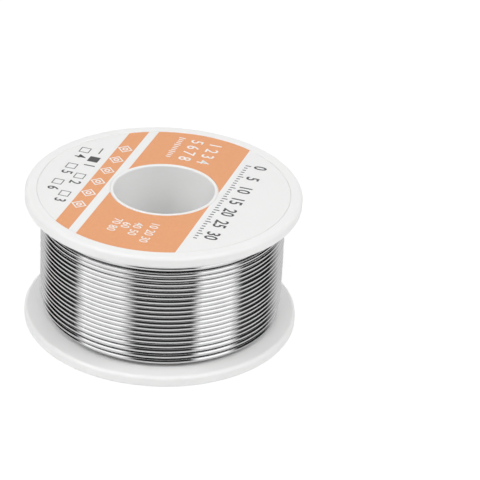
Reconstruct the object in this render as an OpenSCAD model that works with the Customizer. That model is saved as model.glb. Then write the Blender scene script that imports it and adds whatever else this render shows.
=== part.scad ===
// Solder wire spool: two like moulded halves pressed together at the middle of the hub,
// a round label in the front half's recess, and one length of flux cored wire.
// Millimetres. +Z is the spindle axis, and the origin is the middle of the face it rests on.

/* [Spool] */
// Diameter of both flanges
flange_d = 55; // [52:0.5:64]
// Width over both flanges
spool_w = 29; // [24:0.5:44]
// Thickness of a flange at its rim
flange_t = 2.4; // [1.8:0.1:3.2]
// Rounding of both flanges' outer edges
rim_r = 0.7; // [0.3:0.05:0.85]
// Rounding of the mouths of the bore
mouth_r = 0.3; // [0.15:0.05:0.4]
// Diameter of the spindle bore
bore_d = 20; // [16:0.5:22]
// Diameter of the barrel that the wire is wound on
barrel_d = 39.8; // [38:0.2:43]
// Wall of the bore tube and of the barrel
hub_wall = 2.4; // [1.6:0.1:2.6]

/* [Label recess] */
// Depth of the recess below the rim
recess_depth = 0.2; // [0.2:0.05:0.8]
// Rounding of the edges of the rim and the lip beside the recess
step_r = 0.15; // [0.05:0.05:0.15]
// Width of the raised rim outside the recess
rim_w = 2.4; // [1.4:0.1:3.4]
// Width of the raised lip round the bore
lip_w = 0.7; // [0.65:0.05:2]
// Thickness of the label
label_t = 0.1; // [0.06:0.02:0.2]
// Gap between the label and the edges of its recess
label_gap = 0.1; // [0.05:0.05:0.4]

/* [Hub joint] */
// Ribs across the hub, half of them with a pin and half with a socket
rib_count = 6; // [4:2:8]
// Thickness of a rib
rib_t = 1.4; // [0.8:0.1:2]
// Diameter of a joint pin
pin_d = 2.4; // [1.6:0.1:2.8]
// Length of a joint pin
pin_len = 3; // [2:0.5:5]
// Wall round a pin socket
boss_wall = 1.1; // [0.8:0.1:1.3]
// Clearance round a pin in its socket
pin_clear = 0.05; // [0.02:0.01:0.1]
// Clearance past the tip of a pin, and between the ribs of the two halves
seat_clear = 0.4; // [0.2:0.1:0.8]

/* [Wire] */
// Diameter of the wire
wire_d = 1; // [0.8:0.05:1.1]
// Diameter of the flux core in the wire
flux_d = 0.36; // [0.3:0.02:0.44]
// Layers of wire, with the outer one
wire_layers = 5; // [3:1:6]
// Least gap between neighbouring turns of the outer layer
turn_gap = 0.44; // [0.42:0.01:0.8]
// Width beside each flange where the outer layer lies one layer lower
low_w = 3.6; // [3:0.1:6]
// Clearance round the wire where it passes through the barrel
start_clear = 0.2; // [0.1:0.05:0.4]
// Length of the folded end inside the barrel
start_fold = 4; // [2:0.5:6]

/* [Hidden] */

flange_r = flange_d / 2;
half_w = spool_w / 2;
bore_r = bore_d / 2;
bore_tube_r = bore_r + hub_wall;
barrel_r = barrel_d / 2;
barrel_bore_r = barrel_r - hub_wall;
lip_r = bore_r + lip_w;
recess_r = flange_r - rim_w;

rib_turn = 360 / rib_count;
first_rib_az = rib_turn / 2;
boss_r = (bore_tube_r + barrel_bore_r) / 2;
boss_d = pin_d + 2 * (pin_clear + boss_wall);
pin_lead = pin_d / 8;
joint = 0.2;

wire_r = wire_d / 2;
layer_rise = wire_d * sqrt(3) / 2;
top_r = barrel_r + wire_r + (wire_layers - 1) * layer_rise;
low_r = top_r - layer_rise;
wound_w = spool_w - 2 * flange_t;

// The outer layer is a tube with a few flat sides, so its loops rest on the core at mid chord
loop_rings = 24;
tube_sides = 6;
loops = min(24, floor((wound_w - wire_d) / (wire_d + turn_gap)));
pitch = (wound_w - wire_d) / loops;
chord = cos(180 / loop_rings);
top_core_r = (top_r - wire_r) * chord;
low_core_r = (low_r - wire_r) * chord;
climb_w = pitch / 2;
end_az = 118;

start_z = flange_t + wire_r + start_clear;
fold_r = wire_d;
round_fn = 128;
small_fn = 32;
corner_steps = 5;

// Points along a rounded corner from angle a0 to a1
function corner(r, z, radius, a0, a1) = [
    for (i = [0 : corner_steps])
        let (a = a0 + (a1 - a0) * i / corner_steps)
            [r + radius * cos(a), z + radius * sin(a)]
];

// Half section of one half: outer face at z = 0, joint face at z = half_w
half_section = concat(
    [[bore_r, half_w]],
    corner(bore_r + mouth_r, mouth_r, mouth_r, 180, 270),
    corner(lip_r - step_r, step_r, step_r, 270, 360),
    [[lip_r, recess_depth], [recess_r, recess_depth]],
    corner(recess_r + step_r, step_r, step_r, 180, 270),
    corner(flange_r - rim_r, rim_r, rim_r, 270, 360),
    corner(flange_r - rim_r, flange_t - rim_r, rim_r, 0, 90),
    [[barrel_r, flange_t], [barrel_r, half_w], [barrel_bore_r, half_w],
        [barrel_bore_r, flange_t], [bore_tube_r, flange_t], [bore_tube_r, half_w]]
);

module at_rib(i) {
    rotate([0, 0, first_rib_az + i * rib_turn]) translate([boss_r, 0, 0]) children();
}

module rib() {
    rib_len = barrel_bore_r - bore_tube_r + 2 * joint;
    rib_h = half_w - seat_clear / 2 - flange_t + joint;
    translate([-rib_len / 2, -rib_t / 2, flange_t - joint]) cube([rib_len, rib_t, rib_h]);
}

module boss() {
    translate([0, 0, flange_t - joint])
        cylinder(d = boss_d, h = half_w - flange_t + joint, $fn = small_fn);
}

module pin() {
    translate([0, 0, half_w - joint])
        cylinder(d = pin_d, h = pin_len - pin_lead + joint, $fn = small_fn);
    translate([0, 0, half_w + pin_len - pin_lead])
        cylinder(d1 = pin_d, d2 = pin_d - 2 * pin_lead, h = pin_lead, $fn = small_fn);
}

module socket() {
    socket_depth = pin_len + seat_clear;
    translate([0, 0, half_w - socket_depth])
        cylinder(d = pin_d + 2 * pin_clear, h = socket_depth + joint, $fn = small_fn);
}

// Hole in the barrel that the first turn of wire starts from
module start_hole() {
    translate([barrel_bore_r - joint, 0, start_z]) rotate([0, 90, 0])
        cylinder(d = wire_d + 2 * start_clear, h = hub_wall + 2 * joint, $fn = small_fn);
}

// Both halves come from one mould: turned over, pins at even ribs meet sockets at odd ribs
module moulded_half() {
    difference() {
        union() {
            rotate_extrude($fn = round_fn) polygon(half_section);
            for (i = [0 : rib_count - 1]) at_rib(i) {
                rib();
                boss();
            }
            for (i = [0 : 2 : rib_count - 1]) at_rib(i) pin();
        }
        for (i = [1 : 2 : rib_count - 1]) at_rib(i) socket();
        start_hole();
    }
}

module spool_rear_half() {
    color("whitesmoke") moulded_half();
}

module spool_front_half() {
    color("white") translate([0, 0, spool_w]) rotate([180, 0, 0]) moulded_half();
}

module label() {
    label_z = spool_w - recess_depth;
    color("darkorange") translate([0, 0, label_z]) difference() {
        cylinder(r = recess_r - label_gap, h = label_t, $fn = round_fn);
        translate([0, 0, -joint])
            cylinder(r = lip_r + label_gap, h = label_t + 2 * joint, $fn = round_fn);
    }
}

// Inner end of the wire: in through the barrel and folded up inside it
module wire_start() {
    fold_x = barrel_bore_r - wire_r - fold_r;
    color("silver") intersection() {
        union() {
            translate([fold_x, 0, start_z]) rotate([0, 90, 0])
                cylinder(d = wire_d, h = barrel_r - fold_x + joint, $fn = small_fn);
            translate([fold_x, 0, start_z + fold_r]) rotate([90, 0, 0]) rotate([0, 0, 180])
                rotate_extrude(angle = 90, $fn = small_fn) translate([fold_r, 0])
                    circle(d = wire_d, $fn = small_fn);
            translate([fold_x - fold_r, 0, start_z + fold_r])
                cylinder(d = wire_d, h = start_fold, $fn = small_fn);
        }
        cylinder(r = barrel_r, h = half_w, $fn = round_fn);
    }
}

// The layers under the outer one, which fill the barrel from flange to flange
module wire_inner_layers() {
    z0 = flange_t;
    z1 = spool_w - flange_t;
    color("gray") rotate_extrude($fn = round_fn) polygon([
        [barrel_r, z0], [low_core_r, z0], [low_core_r, z0 + low_w], [top_core_r, z0 + low_w],
        [top_core_r, z1 - low_w], [low_core_r, z1 - low_w], [low_core_r, z1], [barrel_r, z1]
    ]);
}

// Ease from 0 to 1
function ease(t) = let (s = max(0, min(1, t))) s * s * (3 - 2 * s);

// Radius of the outer layer at a height: it climbs a layer in half a turn before each step
function winding_r(z) =
    let (from_flange = min(z - flange_t, spool_w - flange_t - z))
        low_r + layer_rise * ease((from_flange - (low_w - wire_r - climb_w)) / climb_w);

function turn_dir(az) = [-sin(az), cos(az), 0];

// Centre line: one unbroken helix
ring_az = [for (i = [0 : loops * loop_rings]) end_az + i * 360 / loop_rings];
helix = [
    for (i = [0 : loops * loop_rings])
        let (z = flange_t + wire_r + i * pitch / loop_rings, r = winding_r(z))
            [r * cos(ring_az[i]), r * sin(ring_az[i]), z]
];
last_az = ring_az[len(ring_az) - 1];
first_end = helix[0] - wire_d * turn_dir(end_az);
cut_end = helix[len(helix) - 1] + wire_d * turn_dir(last_az);

// One ring of the tube, square to the turn at this azimuth
function tube_ring(centre, az, radius) = [
    for (k = [0 : tube_sides - 1])
        let (a = 360 * k / tube_sides)
            centre + radius * [cos(a) * cos(az), cos(a) * sin(az), sin(a)]
];

// Least distance between centre line points over half a loop apart, less the wire
function least_gap(points) = min([
    for (i = [0 : len(points) - 1], j = [i + loop_rings / 2 : 1 : len(points) - 1])
        norm(points[i] - points[j])
]) - wire_d;

// The tube runs straight for one diameter at both ends, and its cut end has the flux bore
module wire_outer_layer() {
    rings = concat(
        [tube_ring(first_end, end_az, wire_r)],
        [for (i = [0 : len(helix) - 1]) tube_ring(helix[i], ring_az[i], wire_r)],
        [tube_ring(cut_end, last_az, wire_r), tube_ring(cut_end, last_az, flux_d / 2),
            tube_ring(helix[len(helix) - 1], last_az, flux_d / 2)]
    );
    corners = [for (ring = rings) each ring];
    last_ring = (len(rings) - 1) * tube_sides;
    sides = [
        for (i = [0 : len(rings) - 2], k = [0 : tube_sides - 1])
            let (
                a = i * tube_sides + k,
                b = i * tube_sides + (k + 1) % tube_sides,
                c = b + tube_sides,
                d = a + tube_sides
            )
                each [[a, b, c], [a, c, d]]
    ];
    first_cap = [for (k = [1 : tube_sides - 2]) [0, k + 1, k]];
    last_cap = [for (k = [1 : tube_sides - 2]) [last_ring, last_ring + k, last_ring + k + 1]];
    echo(str("wire_outer_layer: ", loops, " loops, least gap to itself ",
        least_gap(concat([first_end], helix, [cut_end])), " mm"));
    color("silver") polyhedron(corners, concat(first_cap, sides, last_cap));
}

// Rosin flux that shows at the cut end of the wire
module flux_core() {
    fit_r = flux_d / 2 * cos(180 / tube_sides);
    color("goldenrod") translate(helix[len(helix) - 1]) rotate([0, 0, last_az]) rotate([-90, 0, 0])
        cylinder(r = fit_r, h = wire_d, $fn = small_fn);
}

spool_front_half();
spool_rear_half();
label();
wire_start();
wire_inner_layers();
wire_outer_layer();
flux_core();
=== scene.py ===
import math
import random

import bmesh
import bpy
from mathutils import Matrix, Vector


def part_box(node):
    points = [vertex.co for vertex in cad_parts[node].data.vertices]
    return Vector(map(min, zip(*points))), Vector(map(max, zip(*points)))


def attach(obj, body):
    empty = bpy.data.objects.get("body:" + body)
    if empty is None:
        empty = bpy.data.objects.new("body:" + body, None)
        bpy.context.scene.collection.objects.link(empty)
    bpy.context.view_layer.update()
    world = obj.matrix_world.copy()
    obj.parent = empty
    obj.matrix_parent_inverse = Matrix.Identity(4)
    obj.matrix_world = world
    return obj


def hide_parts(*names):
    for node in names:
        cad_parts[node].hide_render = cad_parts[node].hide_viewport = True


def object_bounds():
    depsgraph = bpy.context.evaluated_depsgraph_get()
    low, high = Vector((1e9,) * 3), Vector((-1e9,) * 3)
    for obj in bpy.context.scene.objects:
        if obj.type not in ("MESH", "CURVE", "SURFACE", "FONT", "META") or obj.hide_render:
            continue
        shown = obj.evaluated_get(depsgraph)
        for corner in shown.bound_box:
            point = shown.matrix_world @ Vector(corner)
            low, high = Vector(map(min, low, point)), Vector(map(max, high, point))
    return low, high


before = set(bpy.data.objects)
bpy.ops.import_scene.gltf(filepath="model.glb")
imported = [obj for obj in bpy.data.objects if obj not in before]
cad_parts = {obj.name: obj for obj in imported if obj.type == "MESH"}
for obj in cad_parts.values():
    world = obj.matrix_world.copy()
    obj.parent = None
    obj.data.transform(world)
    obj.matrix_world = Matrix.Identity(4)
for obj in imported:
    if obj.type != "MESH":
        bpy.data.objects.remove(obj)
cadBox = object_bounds()
mm = 0.001
print("frame loaded:", ", ".join(sorted(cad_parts)))

# sizes in millimetres, angles in degrees; the spool lies on its rear flange, with +Z up through its bore
spool = {"width": cadBox[1].z / mm, "radius": cadBox[1].x / mm, "flange": 2.4, "barrelRadius": 19.9}
spool["middle"] = spool["width"] / 2


# camera: a long lens, a little off level
view = {"distance": 465.75, "elevation": 29.9, "aimHeight": 14.5, "yaw": -2.203, "pitch": 0.391,
        "roll": 3.0995, "lens": 173.77, "nearest": 10}


def setCamera(v):
    tilt = math.radians(v["elevation"])
    lens = bpy.data.cameras.new("camera")
    lens.lens = v["lens"]
    lens.clip_start = v["nearest"] * mm
    eye = bpy.data.objects.new("camera", lens)
    eye.matrix_world = (
        Matrix.Translation((0, -v["distance"] * math.cos(tilt) * mm,
                            (v["distance"] * math.sin(tilt) + v["aimHeight"]) * mm))
        @ Matrix.Rotation(math.radians(v["yaw"]), 4, "Z")
        @ Matrix.Rotation(math.radians(90 - v["elevation"] + v["pitch"]), 4, "X")
        @ Matrix.Rotation(math.radians(v["roll"]), 4, "Z"))
    bpy.context.scene.collection.objects.link(eye)
    bpy.context.scene.camera = eye
    bpy.context.scene.view_settings.view_transform = "Standard"


setCamera(view)


class Shade:
    # one socket of a node tree; arithmetic on it adds Math nodes
    def __init__(self, tree, socket=None):
        self.tree = tree
        self.socket = socket

    def node(self, kind, settings=None, values=None, out=0):
        made = self.tree.nodes.new("ShaderNode" + kind)
        for name, setting in (settings or {}).items():
            if name == "stops":
                stops = made.color_ramp.elements
                while len(stops) < len(setting):
                    stops.new(1)
                for stop, (place, tone) in zip(stops, setting):
                    stop.position = place
                    stop.color = (tone, tone, tone, 1)
            else:
                setattr(made, name, setting)
        for key, value in (values or {}).items():
            feed(made, key, value)
        return Shade(self.tree, made.outputs[out])

    def maths(self, operation, *others):
        return self.node("Math", {"operation": operation}, dict(enumerate((self, *others))))

    def __add__(self, other):
        return self.maths("ADD", other)

    def __sub__(self, other):
        return self.maths("SUBTRACT", other)

    def __rsub__(self, other):
        return self.node("Math", {"operation": "SUBTRACT"}, {0: other, 1: self})

    def __mul__(self, other):
        return self.maths("MULTIPLY", other)

    def __pow__(self, other):
        return self.maths("POWER", other)

    __radd__ = __add__
    __rmul__ = __mul__

    def ramp(self, low, high, start=0.0, end=1.0):
        # eases from start to end as the value goes from low to high
        return self.node("MapRange", {"interpolation_type": "SMOOTHSTEP"},
                         {0: self, 1: low, 2: high, 3: start, 4: end})

    def between(self, low, high, edge):
        # 1 from low to high, with soft edges
        return self.ramp(low - edge, low + edge) * self.ramp(high - edge, high + edge, 1, 0)

    def noise(self, scale, detail):
        return self.node("TexNoise", values={"Vector": self, "Scale": scale, "Detail": detail})


def mix(first, second, factor):
    # two colours, each a shade or its red, green and blue
    sides = [side if isinstance(side, Shade) else (*side, 1) for side in (first, second)]
    return factor.node("Mix", {"data_type": "RGBA"}, {0: factor, 6: sides[0], 7: sides[1]}, out=2)


def newFinish(name):
    material = bpy.data.materials.new(name)
    material.use_nodes = True
    return material, material.node_tree.nodes["Principled BSDF"], Shade(material.node_tree)


def millimetres(paint):
    return paint.node("VectorMath", {"operation": "SCALE"},
                      {0: paint.node("TexCoord", out="Object"), "Scale": 1 / mm})


def axes(place):
    # the shades of a vector's x, y and z
    sockets = place.node("SeparateXYZ", values={0: place}).socket.node.outputs
    return [Shade(place.tree, socket) for socket in sockets]


def feed(target, name, value):
    if isinstance(value, Shade):
        value.tree.links.new(value.socket, target.inputs[name])
    else:
        target.inputs[name].default_value = value


def emboss(shader, height, strength, depth):
    feed(shader, "Normal", height.node("Bump", values={"Strength": strength, "Distance": depth * mm,
                                                       "Height": height}))


# satin moulded polystyrene, clouded, with faint hollows over the ribs and a duller rim
plastic = {"white": (0.885, 0.885, 0.88), "shaded": (0.85, 0.85, 0.845), "roughness": 0.42,
           "cloudScale": 0.09, "grainScale": 6.0, "wearScale": 1.3, "wornFrom": 26.6,
           "ribs": 6, "ribTurn": 30, "ribInner": 12.5, "ribOuter": 17.4, "strength": 0.25, "depth": 0.06}


def makePlastic(p):
    material, shader, paint = newFinish("spoolPlastic")
    place = millimetres(paint)
    x, y, z = axes(place)
    radius = (x * x + y * y) ** 0.5
    cloud = place.noise(p["cloudScale"], 3)
    grain = place.noise(p["grainScale"], 4)
    worn = radius.ramp(p["wornFrom"], spool["radius"]) * place.noise(p["wearScale"], 3).ramp(0.45, 0.7)
    feed(shader, "Base Color", mix(p["white"], p["shaded"], cloud.ramp(0.35, 0.8) * 0.35))
    feed(shader, "Roughness", p["roughness"] + grain * 0.08 + worn * 0.12)
    ribWave = ((y.maths("ARCTAN2", x) + math.radians(p["ribTurn"])) * p["ribs"]).maths("COSINE")
    hollow = ribWave.ramp(0.75, 1.0) * radius.between(p["ribInner"], p["ribOuter"], 0.8)
    emboss(shader, grain * 0.3 + cloud * 2 - hollow * 1.2, p["strength"], p["depth"])
    return material


# coated paper, printed in two bands
paper = {"white": (0.87, 0.87, 0.865), "fibreTone": (0.83, 0.83, 0.82), "orange": (0.80, 0.343, 0.143),
         "faded": (0.84, 0.38, 0.18), "tilt": 19.0, "bands": [(-14.9, -11.35), (-9.5, 10.45)],
         "edge": 0.05, "ragged": 0.06, "raggedScale": 9.0, "fibreScale": 14.0, "mottleScale": 2.2,
         "roughness": 0.5, "strength": 0.2, "depth": 0.02}


def makeLabelPaper(p):
    material, shader, paint = newFinish("labelPaper")
    place = millimetres(paint)
    x, y, z = axes(place)
    tilt = math.radians(p["tilt"])
    stray = (place.noise(p["raggedScale"], 2) - 0.5) * p["ragged"]
    across = x * math.cos(tilt) - y * math.sin(tilt) + stray
    inked = sum(across.between(low, high, p["edge"]) for low, high in p["bands"])
    fibre = place.noise(p["fibreScale"], 3)
    mottle = place.noise(p["mottleScale"], 4).ramp(0.3, 0.75)
    ink = mix(p["orange"], p["faded"], mottle * 0.5)
    bare = mix(p["white"], p["fibreTone"], fibre.ramp(0.4, 0.8) * 0.4)
    feed(shader, "Base Color", mix(bare, ink, inked))
    feed(shader, "Roughness", p["roughness"] - inked * 0.08 + fibre * 0.1)
    emboss(shader, fibre + inked * 0.3, p["strength"], p["depth"])
    return material


# printing inks, which wear in specks
inks = {"speckScale": 11.0, "roughness": 0.42,
        "whiteInk": {"fresh": (0.90, 0.88, 0.86), "worn": (0.85, 0.72, 0.62), "wear": 0.4},
        "darkInk": {"fresh": (0.035, 0.033, 0.035), "worn": (0.12, 0.115, 0.115), "wear": 0.5}}


def makeInk(name):
    ink = inks[name]
    material, shader, paint = newFinish(name)
    speck = millimetres(paint).noise(inks["speckScale"], 3).ramp(0.45, 0.75) * ink["wear"]
    feed(shader, "Base Color", mix(ink["fresh"], ink["worn"], speck))
    feed(shader, "Roughness", inks["roughness"] + speck * 0.2)
    return material


# bright drawn solder: streaks run along the wire
metal = {"bright": (0.63, 0.63, 0.635), "dull": (0.54, 0.54, 0.545), "roughness": 0.04,
         "around": 0.35, "across": 9, "patchScale": 0.35, "strength": 0.1, "depth": 0.01}


def makeSolder(p):
    material, shader, paint = newFinish("solderWire")
    place = millimetres(paint)
    x, y, z = axes(place)
    radius = (x * x + y * y) ** 0.5
    drawn = paint.node("CombineXYZ", values={0: x * p["around"], 1: y * p["around"], 2: z * p["across"]})
    streak = paint.node("TexNoise", {"noise_dimensions": "4D"},
                        {"Vector": drawn, "W": radius * p["across"], "Scale": 1.0, "Detail": 3})
    tarnish = place.noise(p["patchScale"], 3).ramp(0.45, 0.8)
    feed(shader, "Base Color", mix(p["bright"], p["dull"], tarnish * 0.5 + streak.ramp(0.5, 0.8) * 0.4))
    feed(shader, "Roughness", p["roughness"] + streak * 0.04 + tarnish * 0.03)
    feed(shader, "Metallic", 1.0)
    emboss(shader, streak, p["strength"], p["depth"])
    return material


# amber rosin
flux = {"amber": (0.70, 0.42, 0.10), "brown": (0.42, 0.20, 0.04), "cloudScale": 7.0, "roughness": 0.22}


def makeFlux(p):
    material, shader, paint = newFinish("rosinFlux")
    cloudy = millimetres(paint).noise(p["cloudScale"], 3)
    feed(shader, "Base Color", mix(p["amber"], p["brown"], cloudy.ramp(0.4, 0.7)))
    feed(shader, "Roughness", p["roughness"] + cloudy * 0.1)
    return material


spoolPlastic = makePlastic(plastic)
labelPaper = makeLabelPaper(paper)
solderWire = makeSolder(metal)
rosinFlux = makeFlux(flux)
whiteInk = makeInk("whiteInk")
darkInk = makeInk("darkInk")
print("materials made")


def dress(node, material):
    # a CAD solid that is shown as it is gets its finish
    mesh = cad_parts[node].data
    mesh.materials.clear()
    mesh.materials.append(material)


dress("spool_front_half", spoolPlastic)
dress("spool_rear_half", spoolPlastic)
dress("label", labelPaper)
dress("wire_start", solderWire)
dress("flux_core", rosinFlux)


def addObject(name, bm, material, smooth=False):
    # a bmesh in millimetres becomes an object in metres
    bmesh.ops.scale(bm, verts=bm.verts, vec=(mm, mm, mm))
    mesh = bpy.data.meshes.new(name)
    bm.to_mesh(mesh)
    bm.free()
    mesh.materials.append(material)
    mesh.polygons.foreach_set("use_smooth", [smooth] * len(mesh.polygons))
    made = bpy.data.objects.new(name, mesh)
    bpy.context.scene.collection.objects.link(made)
    return made


def finishPiece(name, bm, material, smooth=False):
    piece = addObject(name, bm, material, smooth)
    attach(piece, "root")
    return piece


# the winding: one tight helix, with lower turns beside the flanges
wire = {"radius": 0.5, "layers": 5, "turns": 23, "endTurn": 118, "perTurn": 112, "sides": 14,
        "fluxRadius": 0.19, "fluxDepth": 0.98, "straight": 1.0, "weld": 0.001,
        # an uneven hand: turn, shift along the spool, sunk towards the barrel
        "course": [(0, 0, 2.0), (0.42, 0, 2.06), (1.42, -0.77, 0.4), (2.42, -0.43, 0.22),
                   (3.42, -0.13, 0), (4.42, -0.01, 0), (8.42, -0.02, 0), (13.42, -0.17, 0),
                   (18.42, -0.26, 0), (19.42, -0.23, 0), (20.42, -0.20, 0), (21.42, 0.08, 0.05),
                   (22, 0, 0.37), (22.42, 0, 0.6), (23, 0, 0.864)],
        # the turns lean, and one is pushed aside for a short way
        "lean": 0.26, "leanTurn": 0.42, "nudgeTurn": 19.3, "nudgeReach": 0.0625, "nudge": 0.08,
        # small kinks, so many to a turn: in and out, and along the spool
        "kinks": 14, "wander": 0.03, "slip": 0.012, "settleOut": 0.3, "settleAlong": 0.5,
        # the first turn comes up out of the barrel
        "dive": 1.25, "diveTurn": 0.11}
wire["layerRise"] = wire["radius"] * math.sqrt(3)
wire["topRadius"] = spool["barrelRadius"] + wire["radius"] + (wire["layers"] - 1) * wire["layerRise"]
wire["firstHeight"] = spool["flange"] + wire["radius"]
wire["pitch"] = (spool["width"] - 2 * wire["firstHeight"]) / wire["turns"]


def smooth(part):
    return part * part * (3 - 2 * part)


def steps(values, place):
    # eases from each value of a list to the next
    if place >= len(values) - 1:
        return values[-1]
    low = max(0, math.floor(place))
    part = smooth(min(1.0, max(0.0, place - low)))
    return values[low] * (1 - part) + values[low + 1] * part


def course(w, turn):
    # shift along the spool, and how far a turn is sunk
    for low, high in zip(w["course"], w["course"][1:]):
        if turn <= high[0]:
            part = max(0.0, turn - low[0]) / (high[0] - low[0])
            return [low[i] * (1 - part) + high[i] * part for i in (1, 2)]
    return w["course"][-1][1:]


def settled(w, turn, reach):
    # 0 at both ends of the wire, 1 from the reach on
    return min(1.0, turn / reach, max(0.0, w["turns"] - turn) / reach)


def turnHeight(w, turn):
    shift, sunk = course(w, turn)
    aside = w["nudge"] * math.exp(-((turn - w["nudgeTurn"]) / w["nudgeReach"]) ** 2)
    lean = w["lean"] * math.sin(2 * math.pi * (turn - w["leanTurn"])) * settled(w, turn, w["settleAlong"])
    return w["firstHeight"] + turn * w["pitch"] + shift + aside - lean


def turnRadius(w, turn):
    shift, sunk = course(w, turn)
    return w["topRadius"] - sunk


def helixTube(w, start, turns, perTurn, sides, radiusAt, heightAt):
    # a ring of points is spun up into a helix, then each ring is moved to its own radius and height
    bm = bmesh.new()
    ring = bmesh.ops.create_circle(bm, segments=sides, radius=w["radius"])["verts"]
    bmesh.ops.rotate(bm, verts=ring, cent=(0, 0, 0), matrix=Matrix.Rotation(math.pi / 2, 3, "X"))
    bmesh.ops.translate(bm, verts=ring, vec=(w["topRadius"], 0, 0))
    bmesh.ops.spin(bm, geom=bm.verts[:] + bm.edges[:], cent=(0, 0, 0), axis=(0, 0, 1),
                   dvec=(0, 0, w["pitch"] / perTurn), angle=2 * math.pi, steps=perTurn)
    bmesh.ops.spin(bm, geom=bm.verts[:] + bm.edges[:] + bm.faces[:], cent=(0, 0, 0), axis=(0, 0, 1),
                   dvec=(0, 0, w["pitch"]), angle=2 * math.pi * (turns - 1), steps=turns - 1,
                   use_duplicate=True)
    bmesh.ops.remove_doubles(bm, verts=bm.verts, dist=w["weld"])
    for vert in bm.verts:
        part = (math.atan2(vert.co.y, vert.co.x) / (2 * math.pi)) % 1.0
        turn = part + round(vert.co.z / w["pitch"] - part)
        out = Vector((vert.co.x, vert.co.y, 0)).normalized()
        height = vert.co.z - turn * w["pitch"]
        vert.co = out * (vert.co.xy.length - w["topRadius"] + radiusAt(turn + start))
        vert.co.z = height + heightAt(turn + start)
    bmesh.ops.rotate(bm, verts=bm.verts, cent=(0, 0, 0),
                     matrix=Matrix.Rotation(math.radians(w["endTurn"]), 3, "Z"))
    return bm


def openEnds(bm):
    # the edges round the tube's first and last ring
    ends = [edge for edge in bm.edges if edge.is_boundary]
    return ([edge for edge in ends if edge.verts[0].co.z <= spool["middle"]],
            [edge for edge in ends if edge.verts[0].co.z > spool["middle"]])


def makeWinding(w):
    rng = random.Random(7)
    count = w["turns"] * w["kinks"] + 2
    wander = [rng.gauss(0, 1) * w["wander"] for i in range(count)]
    slips = [rng.gauss(0, 1) * w["slip"] for i in range(count)]

    def radiusAt(turn):
        kink = steps(wander, turn * w["kinks"]) * settled(w, turn, w["settleOut"])
        return turnRadius(w, turn) + kink - w["dive"] * smooth(max(0.0, 1 - turn / w["diveTurn"]))

    def heightAt(turn):
        kink = steps(slips, turn * w["kinks"]) * settled(w, turn, w["settleAlong"])
        return turnHeight(w, turn) + kink

    bm = helixTube(w, 0, w["turns"], w["perTurn"], w["sides"], radiusAt, heightAt)
    first, last = openEnds(bm)
    endAngle = math.radians(w["endTurn"])
    forward = Vector((-math.sin(endAngle), math.cos(endAngle), 0))
    # the free end runs on straight, and its cut face shows the flux bore
    grown = bmesh.ops.extrude_edge_only(bm, edges=last)["geom"]
    tip = [item for item in grown if isinstance(item, bmesh.types.BMVert)]
    bmesh.ops.translate(bm, verts=tip, vec=forward * w["straight"])
    rim = [item for item in grown if isinstance(item, bmesh.types.BMEdge)
           and item.verts[0] in tip and item.verts[1] in tip]
    cap = bmesh.ops.contextual_create(bm, geom=rim)["faces"]
    bmesh.ops.inset_individual(bm, faces=cap, thickness=w["radius"] - w["fluxRadius"])
    hole = bmesh.ops.extrude_discrete_faces(bm, faces=cap)["faces"]
    bmesh.ops.translate(bm, verts=hole[0].verts, vec=-forward * w["fluxDepth"])
    bmesh.ops.contextual_create(bm, geom=first)
    bmesh.ops.recalc_face_normals(bm, faces=bm.faces)
    return finishPiece("wireOuterTurns", bm, solderWire, smooth=True)


outerTurns = makeWinding(wire)
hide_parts("wire_outer_layer")
print("outer layer wound:", len(outerTurns.data.polygons), "faces")


# one layer of turns under the outer one, and a ridged drum for the layers further in
under = {"below": 0.99, "start": 1.5, "turnsLess": 3, "perTurn": 56, "sides": 8,
         "drum": 0.8, "drumRows": 24, "drumSteps": 96, "ridge": 0.12, "gap": 0.05, "inner": 0.1}


def makeUnderLayers(w, u):
    def radiusAt(turn):
        return turnRadius(w, turn) - u["below"]

    def heightAt(turn):
        return turnHeight(w, turn)

    bm = helixTube(w, u["start"], w["turns"] - u["turnsLess"], u["perTurn"], u["sides"], radiusAt, heightAt)
    for end in openEnds(bm):
        bmesh.ops.contextual_create(bm, geom=end)
    low = spool["flange"] + u["gap"]
    high = spool["width"] - low
    innerRadius = spool["barrelRadius"] + u["inner"]
    profile = [bm.verts.new((innerRadius, 0, low))]
    for i in range(u["drumRows"] + 1):
        height = low + (high - low) * i / u["drumRows"]
        turn = min(max((height - w["firstHeight"]) / w["pitch"], 0), w["turns"])
        profile.append(bm.verts.new((radiusAt(turn) - u["drum"] + u["ridge"] * (i % 2), 0, height)))
    profile.append(bm.verts.new((innerRadius, 0, high)))
    lines = [bm.edges.new((profile[i - 1], profile[i])) for i in range(len(profile))]
    bmesh.ops.spin(bm, geom=profile + lines, cent=(0, 0, 0), axis=(0, 0, 1),
                   angle=2 * math.pi, steps=u["drumSteps"], use_merge=True)
    bmesh.ops.recalc_face_normals(bm, faces=bm.faces)
    return finishPiece("wireUnderTurns", bm, solderWire, smooth=True)


underTurns = makeUnderLayers(wire, under)
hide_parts("wire_inner_layers")
print("inner layers wound:", len(underTurns.data.polygons), "faces")


# print on the label, set out on a page: x along the bands, y across them
page = {"turn": -109, "height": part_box("label")[1].z / mm, "thickness": 0.012, "sunk": 0.002,
        "capShare": 0.7, "curveSteps": 3, "weld": 0.0005}


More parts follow.
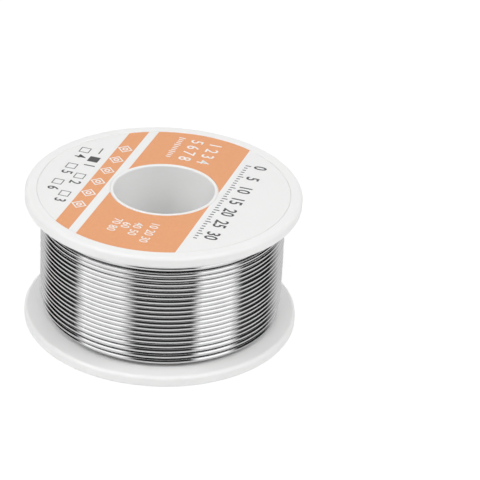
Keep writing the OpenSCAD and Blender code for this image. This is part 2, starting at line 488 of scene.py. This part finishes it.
def typeMark(bm, words, size, x, y, bold, squeeze):
    # size is the height of the figures
    curve = bpy.data.curves.new("type", "FONT")
    curve.body = words
    curve.size = size / page["capShare"]
    curve.align_x = "CENTER"
    curve.align_y = "CENTER"
    curve.offset = bold
    curve.resolution_u = page["curveSteps"]
    holder = bpy.data.objects.new("type", curve)
    bpy.context.scene.collection.objects.link(holder)
    flat = bpy.data.meshes.new_from_object(holder.evaluated_get(bpy.context.evaluated_depsgraph_get()))
    bpy.data.objects.remove(holder)
    flat.transform(Matrix.Translation((x, y, 0)) @ Matrix.Diagonal((squeeze, 1, 1, 1)))
    bm.from_mesh(flat)
    bpy.data.meshes.remove(flat)


def barMark(bm, x, y, width, height):
    verts = bmesh.ops.create_grid(bm, x_segments=1, y_segments=1, size=0.5)["verts"]
    bmesh.ops.scale(bm, verts=verts, vec=(width, height, 1))
    bmesh.ops.translate(bm, verts=verts, vec=(x, y, 0))


def frameMark(bm, x, y, size, line, sides=4, turn=0):
    # the outline of a box, a diamond or a ring
    verts = bmesh.ops.create_circle(bm, cap_ends=True, segments=sides, radius=size)["verts"]
    bmesh.ops.rotate(bm, verts=verts, cent=(0, 0, 0), matrix=Matrix.Rotation(math.radians(turn), 3, "Z"))
    bmesh.ops.translate(bm, verts=verts, vec=(x, y, 0))
    face = verts[0].link_faces[0]
    bmesh.ops.inset_individual(bm, faces=[face], thickness=line)
    bmesh.ops.delete(bm, geom=[face], context="FACES")


def placeMarks(name, bm, ink):
    # flat marks get a thickness and are laid on the label
    bmesh.ops.remove_doubles(bm, verts=bm.verts, dist=page["weld"])
    for face in bm.faces:
        if face.normal.z < 0:
            face.normal_flip()
    grown = bmesh.ops.extrude_face_region(bm, geom=bm.faces[:], use_keep_orig=True)["geom"]
    raised = [item for item in grown if isinstance(item, bmesh.types.BMVert)]
    bmesh.ops.translate(bm, verts=raised, vec=(0, 0, page["thickness"]))
    bmesh.ops.recalc_face_normals(bm, faces=bm.faces)
    bmesh.ops.transform(bm, verts=bm.verts, matrix=Matrix.Translation((0, 0, page["height"] - page["sunk"]))
                        @ Matrix.Rotation(math.radians(page["turn"]), 4, "Z"))
    finishPiece(name, bm, ink)


# a plain scale numbered in fives, and two rows of numbered boxes, of which the first is ticked
scale = {"start": -16, "marks": 33, "foot": 11.7, "line": 0.28, "short": 0.75, "tall": 1.2,
         "fives": 7, "figures": 2.6, "figuresAt": 14.7, "bold": 0.06, "squeeze": 0.84}
boxes = {"rows": [(-17.4, [(-6.3, "1"), (1.4, "2"), (9.3, "3")]),
                  (-20.5, [(-9.4, "4"), (-2.0, "5"), (5.2, "6")])],
         "ticked": "1", "tick": 2.2, "size": 1.5, "line": 0.26, "figures": 2.3, "beside": 2.8,
         "bold": 0.045, "squeeze": 0.86, "dash": (-10.2, -17.4, 2.6)}


def makeDarkPrint(s, b):
    bm = bmesh.new()
    for i in range(s["marks"]):
        tall = s["short"] if i % 5 else s["tall"]
        barMark(bm, s["start"] + i, s["foot"] + tall / 2, s["line"], tall)
    for i in range(s["fives"]):
        typeMark(bm, str(i * 5), s["figures"], s["start"] + i * 5, s["figuresAt"], s["bold"], s["squeeze"])
    for y, row in b["rows"]:
        for x, number in row:
            if number == b["ticked"]:
                barMark(bm, x, y, b["tick"], b["tick"])
            else:
                frameMark(bm, x, y, b["size"], b["line"], turn=45)
            typeMark(bm, number, b["figures"], x + b["beside"], y, b["bold"], b["squeeze"])
    barMark(bm, *b["dash"], b["line"])
    placeMarks("labelDarkMarks", bm, darkInk)


# diamonds in the narrow band, counting numbers and a row of strokes in the wide one
diamonds = {"count": 6, "start": -13.1, "step": 5.08, "y": -13.2, "size": 1.6, "line": 0.36,
            "eye": 0.6, "eyeLine": 0.3, "eyeSides": 16}
counting = {"squeeze": 0.9,
            # words, height, x, y, bold
            "rows": [("1 2 3 4", 2.6, -17.9, 3.2, 0.03), ("5 6 7 8", 2.6, -17.9, -0.8, 0.03),
                     ("10 20 30", 1.75, 17.5, 3.3, 0.01), ("40 50", 1.75, 17.2, 0.3, 0.01),
                     ("60", 1.75, 16.5, -1.9, 0.01), ("70 80", 1.75, 17.1, -4.0, 0.01)]}
strokes = {"count": 12, "start": -22.4, "step": 0.8, "y": -4.1, "line": 0.3, "short": 1.0, "tall": 1.4}


def makeWhitePrint(d, c, s):
    bm = bmesh.new()
    for i in range(d["count"]):
        x = d["start"] + d["step"] * i
        frameMark(bm, x, d["y"], d["size"], d["line"])
        frameMark(bm, x, d["y"], d["eye"], d["eyeLine"], sides=d["eyeSides"])
    for words, height, x, y, bold in c["rows"]:
        typeMark(bm, words, height, x, y, bold, c["squeeze"])
    for i in range(s["count"]):
        barMark(bm, s["start"] + i * s["step"], s["y"], s["line"], s["short"] if i % 4 else s["tall"])
    placeMarks("labelWhiteMarks", bm, whiteInk)


makeDarkPrint(scale, boxes)
makeWhitePrint(diamonds, counting, strokes)
print("label printed")


# studio: white surround and floor, soft lamps overhead, and cards that only gloss sees
studio = {"surround": 0.45, "floorSize": 3000, "floorTone": 0.9, "floorLift": 0.8, "floorGlow": 1.09,
          "lampDistance": 700,
          # name, width and height, azimuth and rise, watts
          "lamps": [("lampKey", 500, 400, -8, 50, 1.0),
                    ("lampFillLeft", 350, 350, -75, 42, 1.5),
                    ("lampFillRight", 400, 400, 75, 42, 1.55)]}


def seenBy(paint, *rays):
    # 1 for the named kinds of ray, 0 for the others
    return sum(paint.node("LightPath", out=ray) for ray in rays).maths("MINIMUM", 1.0)


def setWorld(s):
    world = bpy.data.worlds.new("surround")
    world.use_nodes = True
    bpy.context.scene.world = world
    seen = seenBy(Shade(world.node_tree), "Is Camera Ray", "Is Glossy Ray", "Is Transmission Ray")
    back = world.node_tree.nodes["Background"]
    feed(back, "Color", (1, 1, 1, 1))
    feed(back, "Strength", seen * (1.0 - s["surround"]) + s["surround"])


def showSurface(material, shade):
    feed(material.node_tree.nodes["Material Output"], "Surface", shade)


def stagePiece(name, bm, material):
    piece = addObject(name, bm, material)
    return piece


def makeFloor(s):
    material, shader, paint = newFinish("floorWhite")
    feed(shader, "Base Color", (s["floorTone"], s["floorTone"], s["floorTone"], 1))
    feed(shader, "Roughness", 0.9)
    seen = seenBy(paint, "Is Camera Ray", "Is Glossy Ray", "Is Transmission Ray")
    glow = paint.node("Emission", values={"Color": (1, 1, 1, 1), "Strength": s["floorGlow"]})
    matt = Shade(paint.tree, shader.outputs[0])
    showSurface(material, paint.node("MixShader", values={0: seen * s["floorLift"], 1: matt, 2: glow}))
    bm = bmesh.new()
    bmesh.ops.create_grid(bm, x_segments=1, y_segments=1, size=s["floorSize"])
    floor = stagePiece("floor", bm, material)
    floor.visible_glossy = False  # the metal shows the white surround below it instead


# a card stands where one strip of the winding mirrors it to the camera
# a strip and its soft edges are measured round the spool, from the camera's side to the right
# a stop is a tilt of the wire's surface, up positive, and the card's strength there
cards = {"foot": (24.36, 13.0), "columns": 16, "rows": 40,
         "strips": [
             {"name": "cardLeft", "distance": 420, "strip": (-50.0, 0.0), "soft": (0.1, 0.1),
              "stops": [(-30, 1.0), (10, 1.0), (20, 1.15), (33, 1.6), (46, 1.8), (58, 1.5), (68, 1.1),
                        (80, 1.0)]},
             {"name": "cardRight", "distance": 420, "strip": (1.0, 52.0), "soft": (0.1, 0.1),
              "stops": [(-30, 1.0), (6, 1.0), (16, 1.2), (28, 1.7), (40, 1.75), (53, 1.35), (66, 1.0),
                        (80, 0.9)]},
             {"name": "edgeLeft", "distance": 420, "strip": (-89.0, -62.0), "soft": (0.5, 8.0),
              "stops": [(-30, 0.78), (80, 0.78)]},
             {"name": "edgeRight", "distance": 420, "strip": (60.0, 89.0), "soft": (8.0, 0.5),
              "stops": [(-30, 0.78), (80, 0.78)]},
             {"name": "flagLeft", "distance": 400, "strip": (-75.0, -36.5), "soft": (12.0, 7.0),
              "stops": [(-30, 1.0), (8, 1.0), (16, 0.02), (80, 0.01)]},
             {"name": "flagFront", "distance": 400, "strip": (-18.5, 20.5), "soft": (8.5, 6.0),
              "stops": [(-30, 1.0), (6, 1.0), (14, 0.03), (50, 0.03), (62, 0.2), (80, 0.25)]},
             {"name": "flagRight", "distance": 400, "strip": (33.3, 74.0), "soft": (8.0, 15.0),
              "stops": [(-30, 1.0), (8, 1.0), (16, 0.02), (80, 0.01)]}]}


def mirrored(c, facing, tilt, reach):
    # where a ray from the camera goes once that part of the wire mirrors it
    side = Vector((math.sin(math.radians(facing)), -math.cos(math.radians(facing)), 0))
    normal = side * math.cos(math.radians(tilt)) + Vector((0, 0, math.sin(math.radians(tilt))))
    radius, height = c["foot"]
    foot = side * radius + Vector((0, 0, height))
    toEye = (bpy.context.scene.camera.matrix_world.translation / mm - foot).normalized()
    return foot + (2 * normal.dot(toEye) * normal - toEye) * reach


def makeCard(c, card):
    material, shader, paint = newFinish(card["name"])
    material.node_tree.nodes.remove(shader)
    left, right = card["strip"]
    softLeft, softRight = [soft / (right - left) for soft in card["soft"]]
    low, high = card["stops"][0][0], card["stops"][-1][0]
    across, up, flat = axes(paint.node("TexCoord", out="UV"))
    cover = across.ramp(0, softLeft) * across.ramp(1 - softRight, 1, 1, 0)
    # a ray that has already met something matt passes through the card
    direct = 1 - paint.node("LightPath", out="Diffuse Depth").maths("MINIMUM", 1.0)
    most = max(strength for tilt, strength in card["stops"])
    stops = [((tilt - low) / (high - low), strength / most) for tilt, strength in card["stops"]]
    tone = paint.node("ValToRGB", {"stops": stops}, {0: up})
    glow = paint.node("Emission", values={"Color": tone, "Strength": most})
    clear = paint.node("BsdfTransparent")
    showSurface(material, paint.node("MixShader", values={0: cover * direct, 1: clear, 2: glow}))
    bm = bmesh.new()
    bm.loops.layers.uv.new("UVMap")
    bmesh.ops.create_grid(bm, x_segments=c["columns"], y_segments=c["rows"], size=0.5, calc_uvs=True)
    for vert in bm.verts:
        facing = left + (right - left) * (vert.co.x + 0.5)
        tilt = low + (high - low) * (vert.co.y + 0.5)
        vert.co = mirrored(c, facing, tilt, card["distance"])
    piece = stagePiece(card["name"], bm, material)
    piece.visible_camera = False
    piece.visible_diffuse = False
    piece.visible_shadow = False
    piece.visible_transmission = False


def makeLamp(name, width, height, azimuth, rise, power):
    light = bpy.data.lights.new(name, "AREA")
    light.shape = "RECTANGLE"
    light.size = width * mm
    light.size_y = height * mm
    light.energy = power
    lamp = bpy.data.objects.new(name, light)
    lamp.matrix_world = (Matrix.Translation((0, 0, spool["middle"] * mm))
                         @ Matrix.Rotation(math.radians(azimuth), 4, "Z")
                         @ Matrix.Rotation(math.radians(90 - rise), 4, "X")
                         @ Matrix.Translation((0, 0, studio["lampDistance"] * mm)))
    lamp.visible_camera = False
    lamp.visible_glossy = False
    bpy.context.scene.collection.objects.link(lamp)


setWorld(studio)
makeFloor(studio)
bpy.context.view_layer.update()
for card in cards["strips"]:
    makeCard(cards, card)
for lamp in studio["lamps"]:
    makeLamp(*lamp)
print("studio set")
